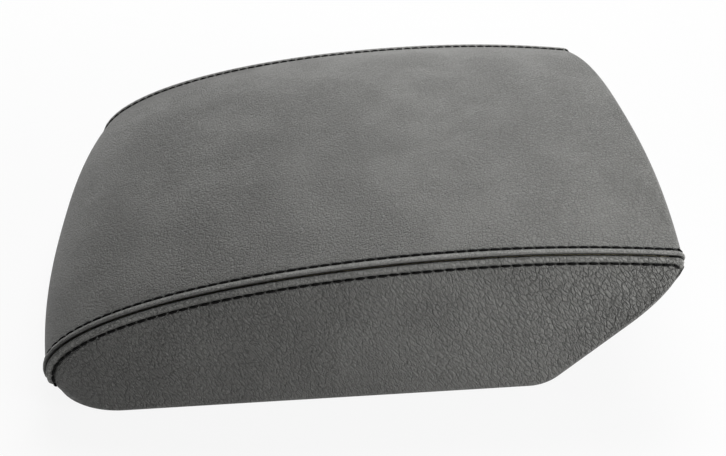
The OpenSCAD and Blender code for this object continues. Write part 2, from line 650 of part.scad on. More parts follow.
// Open retaining ring in the groove of a pin
module ring_clip(r_in, r_out, t) {
    rotate([-90, 0, 0]) linear_extrude(t) difference() {
        circle(r_out);
        circle(r_in);
        translate([0, -r_in*0.8]) square([2*r_out, 1.6*r_in]);
    }
}
module hinge_clip() {
    color(steel_c) translate([-hinge_back, -console_leaf_w/2 - 1.1, hinge_z])
        rotate([0, 45, 0]) ring_clip(pin_r - 0.55, pin_r + 1.6, 0.8);
}
module hinge_bushing(s) {
    w = lid_barrel_w/2;
    color(acetal_c) difference() {
        union() {
            along_y(s > 0 ? w - 10 : -w, s > 0 ? w : -w + 10, -hinge_back, hinge_z) circle(pin_r + bush_t);
            along_y(s > 0 ? w : -w - 0.8, s > 0 ? w + 0.8 : -w, -hinge_back, hinge_z) circle(barrel_r - 0.5);
        }
        along_y(-far, far, -hinge_back, hinge_z) circle(pin_r + run);
    }
}
module washer(y0, y1, c) {
    color(c) along_y(y0, y1, -hinge_back, hinge_z) difference() {
        circle(barrel_r - 0.7);
        circle(pin_r + run);
    }
}
module friction_washer() { washer(lid_barrel_w/2 + 0.85, lid_barrel_w/2 + ring_gap - 0.05, acetal_c); }
// Spring washer: a ring bent into two shallow waves
module wave_washer() {
    m = 36;
    ri = pin_r + 0.1;
    ro = barrel_r - 0.8;
    t = 0.5;
    lift = (ring_gap - 0.85 - 0.05 - t - 0.05)/2;
    function wave(a) = lift*(1 + cos(2*a));
    ring = [for (k = [0:m - 1]) let (a = 360*k/m, y = wave(a))
        [[ri*cos(a), y, ri*sin(a)], [ro*cos(a), y, ro*sin(a)], [ro*cos(a), y + t, ro*sin(a)], [ri*cos(a), y + t, ri*sin(a)]]];
    faces = [for (k = [0:m - 1]) for (j = [0:3]) let (a = 4*k + j, b = 4*((k + 1) % m) + j,
        c = 4*((k + 1) % m) + (j + 1) % 4, d = 4*k + (j + 1) % 4) each [[a, b, c], [a, c, d]]];
    color(steel_c) translate([-hinge_back, -lid_barrel_w/2 - ring_gap + 0.05, hinge_z])
        polyhedron(flat(ring), faces, convexity = 4);
}

// Latch: housing fixed behind the liner, lever on a pin, hook for a console loop
latch_x = slope_x + 1;
latch_z = 27;
latch_r = latch_pin_d/2;
house_wall = 2.4;
liner_back = liner_recess + liner_t;
function house_line(g) = [[slot_x[0] - 3 + g, 0], [slot_x[0] - 3 + g, latch_z + 11 - g],
    [slot_x[0] + 5 + g/2, latch_z + 17 - g], [paddle_x[1] - 4 - g/3, latch_z + 30 - g],
    [paddle_x[1] + 4 - g, latch_z + 30 - g], [paddle_x[1] + 4 - g, 0]];
module house_prism(g, y) {
    intersection() {
        rotate([90, 0, 0]) linear_extrude(2*y, center = true) polygon(house_line(g));
        above_floor(liner_back - (g > 0 ? 1 : 0));
    }
}
module latch_housing() {
    color(plastic_c) difference() {
        union() {
            house_prism(0, cheek[1]);
            for (p = latch_points) {
                on_floor(p[0], p[1], liner_back) cylinder(h = latch_boss_h, r = boss_r);
                on_floor(p[0], p[1], liner_back) translate([-boss_r, p[1] > 0 ? -8 : 0, 0])
                    cube([2*boss_r, 8, 2.5]);
            }
        }
        house_prism(house_wall, cheek[0]);
        for (p = latch_points) on_floor(p[0], p[1], 0) cylinder(h = latch_boss_h + 3, r = screw_r + run);
        along_y(-far, far, latch_x, latch_z) circle(latch_r + 0.02);
    }
}
lever_barrel_r = latch_r + 2.6;
spring_space = 8;
// Paddle plate along the slope, between two depths and two places on the slope
function on_slope(x, d) = [x - d*sin(slope_angle), rim_z + (x - slope_x)*slope_tan + d*cos(slope_angle)];
paddle_t = 2.8;
lever_w = cheek[0] - 1;
arm_y = 18;
arm_t = 2.4;
module lever_side(pts, y0, y1) {
    translate([0, y1, 0]) rotate([90, 0, 0]) linear_extrude(y1 - y0) polygon(pts);
}
module latch_lever() {
    d1 = liner_recess - 0.2;
    d2 = d1 + paddle_t;
    color(plastic_c) difference() {
        union() {
            for (s = [-1, 1]) along_y(s > 0 ? spring_space : -lever_w, s > 0 ? lever_w : -spring_space,
                latch_x, latch_z) circle(lever_barrel_r);
            // Paddle with a raised finger edge
            lever_side([on_slope(paddle_x[0] + 2, d1), on_slope(paddle_x[1], d1), on_slope(paddle_x[1], d2),
                on_slope(paddle_x[0] + 2, d2)], -paddle_w/2, paddle_w/2);
            for (k = [0:3]) let (x = paddle_x[1] - 3 - 3.4*k)
                lever_side([on_slope(x, d1 - 0.7), on_slope(x + 1.3, d1 - 0.7), on_slope(x + 1.8, d1 + 0.1),
                on_slope(x - 0.5, d1 + 0.1)], -paddle_w/2 + 4, paddle_w/2 - 4);
            // Arms from the barrel to the paddle
            for (y = [-arm_y, arm_y - arm_t]) lever_side([[latch_x - 1, latch_z - lever_barrel_r + 0.6],
                on_slope(paddle_x[0] + 3, d2 - 0.3), on_slope(paddle_x[1] - 5, d2 - 0.3),
                [latch_x + 1, latch_z + lever_barrel_r - 0.6]], y, y + arm_t);
            // Hook arms straddle the spring and join above the tip
            for (y = [-spring_space - 2.6, spring_space]) lever_side([[latch_x - 4, latch_z + 2], [latch_x - 5, 10],
                [latch_x - 5, 5], [latch_x - 1, 5], [latch_x + 4, latch_z - 1]], y, y + 2.6);
            lever_side([[latch_x - 5, 13], [latch_x - 5, 8], [latch_x - 8, 7.6], [latch_x - 10, 6.4], [latch_x - 9, 5],
                [latch_x - 1, 5], [latch_x - 1, 13]], -spring_space - 2.6, spring_space + 2.6);
        }
        along_y(-far, far, latch_x, latch_z) circle(latch_r + run);
        along_y(-spring_space, spring_space, latch_x, latch_z) circle(lever_barrel_r + 0.4);
    }
}
module latch_pin() {
    color(steel_c) difference() {
        union() {
            along_y(-cheek[1] - 2.2, cheek[1], latch_x, latch_z) circle(latch_r);
            along_y(cheek[1] + 0.02, cheek[1] + 1.2, latch_x, latch_z) circle(latch_r + 1.2);
            along_y(cheek[1] - 0.1, cheek[1] + 0.1, latch_x, latch_z) circle(latch_r);
        }
        along_y(-cheek[1] - 1.2, -cheek[1] - 0.2, latch_x, latch_z) difference() {
            circle(latch_r + 1);
            circle(latch_r - 0.5);
        }
    }
}
module latch_clip() {
    color(steel_c) translate([latch_x, -cheek[1] - 1.1, latch_z])
        rotate([0, 45, 0]) ring_clip(latch_r - 0.45, latch_r + 1.3, 0.8);
}
// Torsion spring: coil on the pin between the two halves of the lever's barrel
coil_r = latch_r + 0.5 + spring_wire/2;
coil_turns = 5;
coil_steps = 10;
module latch_spring() {
    w = coil_turns*(spring_wire + 0.15);
    start = 180;
    turns = coil_turns + 0.5;
    steps = round(turns*coil_steps);
    helix = [for (k = [0:steps]) let (a = start - 360*turns*k/steps)
        [latch_x + coil_r*cos(a), -w/2 + w*k/steps, latch_z + coil_r*sin(a)]];
    path = concat([[latch_x - coil_r, -w/2 - 0.2, latch_z + 9]], helix,
        [[latch_x + coil_r, w/2 + 0.2, latch_z - 6]]);
    m = 6;
    rings = [for (k = [0:len(path) - 1]) let (
        t = unit(path[min(k + 1, len(path) - 1)] - path[max(k - 1, 0)]),
        a = unit(cross(t, [0, 1, 0])), b = cross(t, a))
        [for (j = [0:m - 1]) path[k] + spring_wire/2*(cos(360*j/m)*a + sin(360*j/m)*b)]];
    r = len(rings);
    faces = concat(
        [for (k = [0:r - 2]) for (j = [0:m - 1]) let (p = k*m + j, q = k*m + (j + 1) % m)
            each [[p, q + m, q], [p, p + m, q + m]]],
        [[for (j = [0:m - 1]) j]], [[for (j = [m - 1:-1:0]) (r - 1)*m + j]]);
    color(steel_c) polyhedron(flat(rings), faces, convexity = 8);
}

// Stitches beside the ridges: short threads laid in the valley of each seam
stitch_w = ridge_w + 0.5;
module seam_thread() {
    rows = [
        [for (i = [0:n - 1]) top_point(i, -seam_share(i, stitch_w)) - 0.3*top_normals[i + hem_n][ridge_n - 1]],
        [for (i = [0:n - 1]) let (h = norm(rim[i] - seam[i])) side_point(i, stitch_w/h) - 0.3*side_normals[i][ridge_n - 1]]];
    rise = [[for (i = [0:n - 1]) top_normals[i + hem_n][ridge_n - 1]], [for (i = [0:n - 1]) side_normals[i][ridge_n - 1]]];
    color(thread_c) for (q = [0, 1]) {
        path = rows[q];
        for (i = [1:n - 5]) {
            seg = norm(path[i + 1] - path[i]);
            count = max(1, round(seg/stitch_pitch));
            step = (path[i + 1] - path[i])/count;
            for (k = [0:count - 1]) {
                mid = path[i] + (k + 0.5)*step + (thread_d/2 + 0.2)*rise[q][i];
                a = unit(step);
                h = norm(step)*stitch_share;
                translate(mid - a*h/2) rotate([0, acos(a[2]), atan2(a[1], a[0])]) cylinder(h = h, d = thread_d, $fn = 5);
            }
        }
    }
}

top_cover();
mirror([0, 1, 0]) side_cover();  // side_cover_left
side_cover();  // side_cover_right
mirror([0, 1, 0]) seam_thread();  // seam_thread_left
seam_thread();  // seam_thread_right
foam_pad();
lid_shell();
liner_panel();
liner_screws();
stop(0);  // stop_rear_left
stop(1);  // stop_rear_right
stop(2);  // stop_front_left
stop(3);  // stop_front_right
hinge_console_leaf();
hinge_pin();
hinge_clip();
hinge_lid_leaf();
hinge_lid_screws();
hinge_bushing(1);  // hinge_bushing_left
hinge_bushing(-1);  // hinge_bushing_right
wave_washer();
friction_washer();
latch_housing();
latch_screws();
latch_lever();
latch_pin();
latch_clip();
latch_spring();
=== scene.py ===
"""Car centre armrest: a leather covered lid, dressed over the moulded and metal parts of its CAD frame."""

import math

import bmesh
import bpy
import numpy as np
from bpy.props import FloatProperty, FloatVectorProperty, IntProperty, PointerProperty
from mathutils import Matrix, Vector


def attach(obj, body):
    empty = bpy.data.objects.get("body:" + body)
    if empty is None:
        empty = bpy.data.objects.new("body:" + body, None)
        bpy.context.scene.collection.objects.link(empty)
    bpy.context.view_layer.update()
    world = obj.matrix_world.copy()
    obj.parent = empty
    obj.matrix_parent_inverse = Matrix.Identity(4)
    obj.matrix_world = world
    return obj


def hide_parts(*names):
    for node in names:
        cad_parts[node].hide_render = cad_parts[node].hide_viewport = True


bl_info = {
    "name": "Centre armrest",
    "version": (1, 0, 0),
    "blender": (4, 5, 0),
    "location": "3D View > Sidebar > Armrest",
    "description": "Builds the leather, seams, foam and finishes of a car centre armrest",
    "category": "Object",
}

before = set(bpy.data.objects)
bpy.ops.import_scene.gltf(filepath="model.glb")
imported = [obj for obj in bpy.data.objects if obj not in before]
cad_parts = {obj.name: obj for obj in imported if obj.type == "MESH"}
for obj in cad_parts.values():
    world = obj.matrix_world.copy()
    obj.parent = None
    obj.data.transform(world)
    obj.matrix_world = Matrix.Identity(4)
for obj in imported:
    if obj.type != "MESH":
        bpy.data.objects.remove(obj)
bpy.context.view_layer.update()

MM = 0.001

# The padded body, in millimetres, as the CAD model has it
LENGTH = 308.0
WIDTH = 230.0
HEIGHT = 94.5
SEAM_WIDTH = 213.0
SEAM_HEIGHT = 77.5
CROWN_X = 68.0
NOSE_HEIGHT = 22.0
REAR_BOW = 10.0
REAR_TUCK = 3.5
SEAM_LEAN = 3.0
FRONT_BOW = 1.5
FRONT_FALL = 5.0
LIP_RADIUS = 4.6
SIDE_SWELL = 1.3
CROWN_POWER = 2.5
SLOPE_ANGLE = math.radians(46)
SLOPE_X = 94.0
SLOPE_RADIUS = 20.0
RIM_Z = 1.0
RIM_LIFT = 3.5
REAR_CORNER = 37.0
REAR_INSET = 22.5
FRONT_CORNER = 23.0
FRONT_INSET = 2.5
CORNER_START = math.radians(15)
TURN_HUB_Y = 30.0

# Seams: two rolled ridges with a groove between them and a row of stitches beside each
RIDGE_HEIGHT = 1.35
RIDGE_WIDTH = 4.4
GROOVE_DEPTH = 0.9
GROOVE_REACH = 0.45
STITCH_OFFSET = RIDGE_WIDTH + 0.5
STITCH_PITCH = 5.1
STITCH_LIFT = 0.15
LEATHER_THICKNESS = 1.2

# Depth and half width of the valley that a row of stitches lies in, of the dent at each stitch,
# and of the pucker that it pulls into the ridge beside it
VALLEY = (0.42, 0.75)
DENT = (0.34, 0.8)
PUCKER = (0.16, 1.3)
PUCKER_OFFSET = 0.7 * RIDGE_WIDTH

# The leather turns in under the rim: inset from the wall, and height off the rim plane
HEM = [(0, 3.5), (0.3, 2.0), (1.3, 0.7), (3, 0), (4.6, 0.6), (5.8, 2.2), (7, 4.2), (8.4, 4.8), (13, 4.8)]
HEM_POINTS = 15

# Columns of points over the rest of the top, from a seam to the crown, and of a side
TOP_COLUMNS = 26
SIDE_COLUMNS = 34

# Where the flat base turns up into the finger slope
ARC_X = SLOPE_X - SLOPE_RADIUS * math.tan(SLOPE_ANGLE / 2)
ARC_Z = RIM_Z + SLOPE_RADIUS

# Weights of the stretches that the rear corner and the front corner are spread over
RISE_STATIONS, BACK_STATIONS, CORNER_STATIONS = 5, 14, 4
EDGE_STATIONS, LIP_STATIONS = 4, 2

# The last station, at the front rim, and how many stations the seam's length is measured over
LIP_END = 5.0
FINE_STATIONS = 6000

# The ridges flatten out over this length at both ends of a seam, and narrow by this share to the front
SEAM_RUN_OUT = 5.0
FRONT_NARROWING = 0.1

# The ridge of the top is narrower than that of the side, by this factor
TOP_NARROWING = 1.3


def floor_z(x, depth):
    """Height of the base and its slope at x, moved inwards by a depth."""
    radius = SLOPE_RADIUS - depth
    arc = ARC_Z - np.sqrt(np.maximum(radius**2 - (x - ARC_X) ** 2, 0))
    slope = RIM_Z + (x - SLOPE_X) * math.tan(SLOPE_ANGLE) + depth / math.cos(SLOPE_ANGLE)
    curved = np.where(x < ARC_X + radius * math.sin(SLOPE_ANGLE), arc, slope)
    return np.where(x <= ARC_X, RIM_Z + depth, curved)


def outline(stage, share, rear, tuck, front, top, foot):
    """Side outline from the rear rim over the crown to the front rim, as x and z at each station."""
    low = RIM_Z + RIM_LIFT
    edge = top - FRONT_FALL - LIP_RADIUS
    angle = share * math.pi / 2
    x = np.choose(
        stage,
        [
            rear + tuck * (1 - share) ** 2,
            CROWN_X - (CROWN_X - rear) * np.cos(angle),
            CROWN_X + (front - LIP_RADIUS - CROWN_X) * share,
            front - LIP_RADIUS + LIP_RADIUS * np.sin(angle),
            front + 0 * share,
        ],
    )
    z = np.choose(
        stage,
        [
            low + (NOSE_HEIGHT - low) * share,
            NOSE_HEIGHT + (top - NOSE_HEIGHT) * np.sin(angle),
            top - FRONT_FALL * share**2,
            edge + LIP_RADIUS * np.cos(angle),
            edge * (1 - share) + foot * share,
        ],
    )
    return x, z


def eased(share):
    """Runs from 0 to 1 with a soft start and end."""
    share = np.clip(share, 0, 1)
    return share * share * (3 - 2 * share)


def unit(vectors):
    """Vectors of length one along the last axis."""
    return vectors / np.maximum(np.linalg.norm(vectors, axis=-1, keepdims=True), 1e-9)


def points(x, y, z):
    """Points from three arrays of the same shape."""
    return np.stack(np.broadcast_arrays(x, y, z), axis=-1).astype(float)


def smooth_path(knots, count):
    """Evenly numbered points on a smooth curve through the knots."""
    p = np.array([knots[0], *knots, knots[-1]], float)
    at = np.linspace(0, len(knots) - 1.0001, count)
    k = at.astype(int)
    t = (at - k)[:, None]
    a, b, c, d = p[k], p[k + 1], p[k + 2], p[k + 3]
    return 0.5 * (2 * b + (c - a) * t + (2 * a - 5 * b + 4 * c - d) * t**2 + (3 * b - a - 3 * c + d) * t**3)


class PaddedBody:
    """The surfaces of the padded body at a row of stations, on the right side, in millimetres.

    A station is a number from 0 at the rear rim to LIP_END at the front rim: its whole part is
    the stretch of the outline and its fraction the place on that stretch.
    """

    def __init__(self, stations):
        self.stage = np.minimum(stations.astype(int), 4)
        self.share = stations - self.stage
        self.seam_rear = REAR_BOW - LENGTH / 2
        self.seam_front = LENGTH / 2 - FRONT_BOW
        stage, share = self.stage, self.share
        seam_foot = floor_z(np.array(self.seam_front), RIM_LIFT)
        crown_foot = floor_z(np.array(LENGTH / 2), RIM_LIFT)
        x, z = outline(stage, share, self.seam_rear, -SEAM_LEAN, self.seam_front, SEAM_HEIGHT, seam_foot)
        self.lip = np.select(
            [stage == 3, stage == 4],
            [EDGE_STATIONS * share, EDGE_STATIONS + LIP_STATIONS * share],
            0.0,
        ) / (EDGE_STATIONS + LIP_STATIONS)
        rise = np.where(stage == 0, 1 - share, 0)
        self.half_seam = SEAM_WIDTH / 2 - REAR_INSET * rise**2 - FRONT_INSET * self.lip**2
        self.seam = points(x, -self.half_seam, z)
        x, z = outline(stage, share, -LENGTH / 2, REAR_TUCK, LENGTH / 2, HEIGHT, crown_foot)
        self.crown = points(x, 0, z)
        self.rim, self.turn = self.make_rim()

    def make_rim(self):
        """Lower edge of the side panel, and the direction in which its hem turns in."""
        rear_hub = np.array([self.seam_rear - SEAM_LEAN + REAR_CORNER, REAR_INSET - SEAM_WIDTH / 2])
        front_hub = np.array([self.seam_front - FRONT_CORNER, FRONT_INSET - SEAM_WIDTH / 2])
        corner_share = CORNER_STATIONS / BACK_STATIONS
        corner_x = CROWN_X - (CROWN_X - self.seam_rear) * math.cos(corner_share * math.pi / 2)
        lip_x = self.seam_front - LIP_RADIUS
        rear = np.select(
            [self.stage == 0, self.stage == 1],
            [RISE_STATIONS * self.share, RISE_STATIONS + BACK_STATIONS * self.share],
            99.0,
        ) / (RISE_STATIONS + CORNER_STATIONS)
        along = (self.seam[:, 0] - corner_x) / (lip_x - corner_x)
        straight = np.stack([rear_hub[0] + (front_hub[0] - rear_hub[0]) * along, -WIDTH / 2 + 0 * along], 1)
        a = CORNER_START + (math.pi / 2 - CORNER_START) * np.minimum(rear, 1)
        reach = WIDTH / 2 + rear_hub[1]
        back = np.stack([rear_hub[0] - REAR_CORNER * np.cos(a), rear_hub[1] - reach * np.sin(a)], 1)
        a = (math.pi / 2 - CORNER_START) * self.lip
        reach = WIDTH / 2 + front_hub[1]
        nose = np.stack([front_hub[0] + FRONT_CORNER * np.sin(a), front_hub[1] - reach * np.cos(a)], 1)
        at_back = (rear <= 1)[:, None]
        at_nose = (self.stage >= 3)[:, None]
        plan = np.where(at_back, back, np.where(at_nose, nose, straight))
        turn_hub = np.array([front_hub[0], TURN_HUB_Y - WIDTH / 2])
        turn = np.where(at_back, rear_hub - plan, np.where(at_nose, turn_hub - plan, [0.0, 1.0]))
        return points(plan[:, 0], plan[:, 1], floor_z(plan[:, 0], RIM_LIFT)), unit(turn)

    def top(self, v):
        """Top surface: v holds a row for each station and runs from -1 at this seam to 0 at the crown."""
        s = (np.abs(v) ** CROWN_POWER)[..., None]
        p = self.crown[:, None] * (1 - s) + self.seam[:, None] * s
        p[..., 1] = v * self.half_seam[:, None]
        return p

    def side(self, t):
        """Side surface: t holds a row for each station and runs from 0 at the seam to 1 at the rim."""
        drop = np.linalg.norm(self.rim - self.seam, axis=1)
        swell = (SIDE_SWELL * 4 * t * (1 - t) * np.minimum(1, drop / 60)[:, None])[..., None]
        p = self.seam[:, None] * (1 - t[..., None]) + self.rim[:, None] * t[..., None]
        p[..., :2] -= swell * self.turn[:, None]
        return p

    def side_height(self):
        """Length of the side panel from the seam to the rim at each station."""
        return np.linalg.norm(self.rim - self.seam, axis=1)

    def narrowing(self):
        """How much narrower the ridges are at each station than over the middle."""
        return 1 + FRONT_NARROWING * eased((self.seam[:, 0] - 40) / 100)


def even_stations(step):
    """Stations whose seam points lie about a step apart, and the length along the seam at each."""
    fine = np.linspace(0, LIP_END, FINE_STATIONS)
    seam = PaddedBody(fine).seam
    run = np.concatenate([[0], np.cumsum(np.linalg.norm(np.diff(seam, axis=0), axis=1))])
    count = int(round(run[-1] / step))
    at = np.linspace(0, run[-1], count + 1)
    return np.interp(at, run, fine), at


def grid_normals(p):
    """Unit normals of a grid of points, from its neighbours."""
    return unit(np.cross(np.gradient(p, axis=0), np.gradient(p, axis=1)))


def swell_at(w, place, height, half_width):
    """A soft swelling of the leather around a distance from the seam."""
    return height * np.exp(-(((w - place) / half_width) ** 2))


def ridge_lift(w):
    """Height of the leather at a distance from the seam: a rolled ridge, then the stitched valley."""
    roll = RIDGE_HEIGHT * np.sin(math.pi * np.clip(w / RIDGE_WIDTH, 0, 1) ** 0.8) ** 0.8
    return roll - swell_at(w, STITCH_OFFSET, *VALLEY)


def stitch_pull(w, run):
    """How far each stitch pulls the leather down, and how the ridge puckers between stitches."""
    beat = 0.5 - 0.5 * np.cos(2 * math.pi * run / STITCH_PITCH)
    dent = beat**3 * swell_at(w, STITCH_OFFSET, *DENT)
    return dent + beat * swell_at(w, PUCKER_OFFSET, *PUCKER)


def run_out(run):
    """Share of the ridges' height along a seam, which fades at both of its ends."""
    return eased(np.minimum(run, run[-1] - run) / SEAM_RUN_OUT)


def groove_dive(w):
    """How far the edge of a panel dives into the groove between the ridges."""
    return GROOVE_DEPTH * np.clip(1 - w / GROOVE_REACH, 0, 1) ** 1.6


# Columns beside the seam, as distances from it
RIDGE_COLUMNS = np.concatenate([[0.05, 0.16, 0.3], np.linspace(0.5, 6.2, 20), [6.8, 7.6, 8.6, 9.9, 11.5]])


def grid_mesh(name, place, seam_distance):
    """A grid of quads whose points are given as rows and columns, in millimetres."""
    rows, columns = place.shape[:2]
    bm = bmesh.new()
    bmesh.ops.create_grid(bm, x_segments=columns - 1, y_segments=rows - 1, size=1)
    layer = bm.verts.layers.float.new("seam_distance")
    for vert in bm.verts:
        column = round((vert.co.x + 1) / 2 * (columns - 1))
        row = round((vert.co.y + 1) / 2 * (rows - 1))
        vert.co = Vector(place[row, column]) * MM
        vert[layer] = seam_distance[row, column]
    return finish_mesh(bm, name)


def finish_mesh(bm, name, smooth=True):
    """An object at the origin from a bmesh, added to the scene."""
    mesh = bpy.data.meshes.new(name)
    bmesh.ops.remove_doubles(bm, verts=bm.verts, dist=0.005 * MM)
    bm.to_mesh(mesh)
    bm.free()
    if smooth:
        mesh.shade_smooth()
    obj = bpy.data.objects.new(name, mesh)
    bpy.context.collection.objects.link(obj)
    return obj


def give_finish(obj, material):
    """One material over the whole of a piece."""
    obj.data.materials.clear()
    obj.data.materials.append(material)
    return obj


def leather_wall(obj):
    """Gives a leather surface its thickness, towards the foam."""
    solid = obj.modifiers.new("Thickness", "SOLIDIFY")
    solid.thickness = LEATHER_THICKNESS * MM
    solid.offset = -1
    return obj


class Wire:
    """A shader socket that takes part in sums, and adds the Math nodes that they need."""

    def __init__(self, finish, socket):
        self.finish = finish
        self.socket = socket

    def maths(self, operation, *values):
        sockets = dict(enumerate(values))
        return self.finish.node("ShaderNodeMath", {"operation": operation}, sockets)["Value"]

    def __add__(self, other):
        return self.maths("ADD", self, other)

    def __radd__(self, other):
        return self.maths("ADD", other, self)

    def __sub__(self, other):
        return self.maths("SUBTRACT", self, other)

    def __rsub__(self, other):
        return self.maths("SUBTRACT", other, self)

    def __mul__(self, other):
        return self.maths("MULTIPLY", self, other)

    def __rmul__(self, other):
        return self.maths("MULTIPLY", other, self)

    def most(self, other):
        return self.maths("MAXIMUM", self, other)


class Outputs:
    """The outputs of a node, by name, as wires."""

    def __init__(self, finish, node):
        self.finish = finish
        self.made = node

    def __getitem__(self, name):
        return Wire(self.finish, self.made.outputs[name])


class Finish:
    """A node material under construction."""

    def __init__(self, name):
        self.material = bpy.data.materials.new(name)
        self.material.use_nodes = True
        self.tree = self.material.node_tree
        self.shader = next(n for n in self.tree.nodes if n.type == "BSDF_PRINCIPLED")

    def node(self, kind, settings, sockets):
        """Adds a node: its settings first, then the values or wires of its sockets."""
        made = self.tree.nodes.new(kind)
        for key, value in settings.items():
            setattr(made, key, value)
        for key, value in sockets.items():
            self.connect(made.inputs[key], value)
        return Outputs(self, made)

    def connect(self, socket, value):
        if isinstance(value, Wire):
            self.tree.links.new(value.socket, socket)
        else:
            socket.default_value = value

    def set(self, **sockets):
        """Sets the surface's own sockets, with underscores for the spaces in their names."""
        for key, value in sockets.items():
            self.connect(self.shader.inputs[key.replace("_", " ")], value)
        return self.material

    def coordinates(self, scale=(1, 1, 1), turn=(0, 0, 0)):
        """Object coordinates for a pattern that is drawn out along its own axes, and turned."""
        place = self.node("ShaderNodeTexCoord", {}, {})["Object"]
        sockets = {"Vector": place, "Rotation": turn, "Scale": scale}
        return self.node("ShaderNodeMapping", {"vector_type": "TEXTURE"}, sockets)["Vector"]

    def noise(self, vector, scale, detail=2.0, roughness=0.5):
        sockets = {"Vector": vector, "Scale": scale, "Detail": detail, "Roughness": roughness}
        return self.node("ShaderNodeTexNoise", {}, sockets)

    def cells(self, vector, scale, feature="DISTANCE_TO_EDGE"):
        return self.node("ShaderNodeTexVoronoi", {"feature": feature}, {"Vector": vector, "Scale": scale})

    def vector_maths(self, operation, sockets, output="Vector"):
        return self.node("ShaderNodeVectorMath", {"operation": operation}, sockets)[output]

    def warped(self, vector, scale, amount):
        """A vector pushed about by a noise, so that cells lose their straight edges."""
        push = self.noise(vector, scale)["Color"]
        shift = self.vector_maths("SUBTRACT", {0: push, 1: (0.5, 0.5, 0.5)})
        step = self.vector_maths("SCALE", {0: shift, "Scale": amount})
        return self.vector_maths("ADD", {0: vector, 1: step})

    def between(self, value, low, high):
        """Runs from 0 to 1, smoothly, as the value goes from low to high."""
        settings = {"interpolation_type": "SMOOTHSTEP"}
        sockets = {"Value": value, "From Min": low, "From Max": high}
        return self.node("ShaderNodeMapRange", settings, sockets)["Result"]

    def mix(self, factor, a, b):
        settings = {"data_type": "RGBA"}
        return self.node("ShaderNodeMix", settings, {"Factor": factor, 6: a, 7: b})[2]

    def bump(self, height, depth):
        sockets = {"Height": height, "Distance": depth, "Strength": 1.0}
        return self.node("ShaderNodeBump", {}, sockets)["Normal"]


def rgba(colour, gain=1.0):
    return (*(c * gain for c in colour), 1)


# Relief of the grain as a share of its width, its growth towards the front, its stretch and its turn
TOP_GRAIN = (0.62, 1.1, (1.3, 1, 1), (0, 0, 0.5))
SIDE_GRAIN = (0.95, 1.3, (0.9, 0.9, 2.4), (0, -0.65, 0))

# Where along X, in metres, the grain of the rear gives way to that of the front
GRAIN_CHANGE = (-0.09, 0.13)

# Distances from the seam, in millimetres, between which the ridge's smoother grain runs out, the
# painted highlight along its crest begins and ends, and the groove's painted shade runs out
RIDGE_SMOOTH = (2.5, 7.0)
CREST_START = (0.3, 1.1)
CREST_END = (1.6, 3.6)
GROOVE_SHADE = (0.08, 0.5)


def pebbles(f, place, size):
    """Rounded pebbles with narrow valleys between them, and finer ones within."""
    bent = f.warped(place, 0.5 / size, size * 1.1)
    broad = f.between(f.cells(bent, 1 / size)["Distance"], 0.0, 0.14)
    dome = 1 - f.cells(bent, 1 / size, "F1")["Distance"]
    within = f.between(f.cells(f.warped(bent, 2 / size, size * 0.3), 2.1 / size)["Distance"], 0.0, 0.3)
    return broad, broad * 0.5 + dome * 0.4 + within * 0.35


def leather_finish(name, grain, relief, growth, stretch, turn):
    """Pebbled leather: its grain is drawn out by a stretch and a turn, and grows towards the front."""
    look = bpy.context.scene.armrest_leather
    f = Finish(name)
    flat = f.coordinates()
    drawn = f.coordinates(scale=stretch, turn=turn)
    front = f.between(f.node("ShaderNodeSeparateXYZ", {}, {"Vector": flat})["X"], *GRAIN_CHANGE)
    small_cell, small = pebbles(f, drawn, grain)
    large_cell, large = pebbles(f, drawn, grain * growth)
    pebble = small * (1.5 - 1.5 * front) + large * front * growth
    valley = small_cell * (1 - front) + large_cell * front
    depth = f.between(f.noise(flat, 38, detail=3)["Fac"], 0.3, 0.7)
    pores = f.noise(flat, 3.5 / grain, detail=3)["Fac"]
    folds = f.noise(drawn, 0.22 / grain, detail=4, roughness=0.6)["Fac"]
    away = f.node("ShaderNodeAttribute", {"attribute_name": "seam_distance"}, {})["Fac"]
    rolled = 1 - f.between(away, *RIDGE_SMOOTH)
    height = pebble * (0.55 + 0.45 * depth) * (1 - rolled * 0.45) + pores * 0.25 + folds * 0.6
    patch = f.noise(flat, 14, detail=3)["Fac"]
    worn = f.between(patch, 0.35, 0.7)
    base = f.mix(worn, rgba(look.colour, 0.98), rgba(look.colour, 1.03))
    # Painted highlight: the colour is lightened along the crest of each ridge, standing in for a lamp's
    # highlight there
    crest = f.between(away, *CREST_START) * (1 - f.between(away, *CREST_END))
    painted_highlight = f.mix(crest, base, rgba(look.colour, 1.4))
    # Painted shade: the valleys between the pebbles are darkened in the colour, standing in for the shade
    # that falls in them
    shaded_valleys = f.mix(valley, rgba(look.colour, 0.7), painted_highlight)
    # Painted shade: the colour darkens to a tenth of the leather's colour in the groove between the ridges
    painted_groove_shade = 1 - f.between(away, *GROOVE_SHADE)
    colour = f.mix(painted_groove_shade, shaded_valleys, rgba(look.colour, 0.1))
    rough = look.roughness + patch * 0.05 - pebble * 0.05 - rolled * 0.14
    return f.set(
        Base_Color=colour,
        Roughness=rough,
        IOR=1.46,
        Specular_IOR_Level=0.35,
        Normal=f.bump(height, grain * relief),
    )


def thread_finish():
    """Black bonded thread, twisted."""
    f = Finish("Sewing thread")
    flat = f.coordinates(turn=(0, 0.6, 0.5))
    bands = {"Vector": flat, "Scale": 420.0, "Distortion": 1.2}
    ply = f.node("ShaderNodeTexWave", {"wave_type": "BANDS"}, bands)["Fac"]
    lint = f.noise(flat, 3000)["Fac"]
    shade = f.mix(lint, (0.003, 0.003, 0.003, 1), (0.01, 0.01, 0.01, 1))
    return f.set(
        Base_Color=shade,
        Roughness=0.85,
        Specular_IOR_Level=0.08,
        Normal=f.bump(ply, 0.00012),
    )


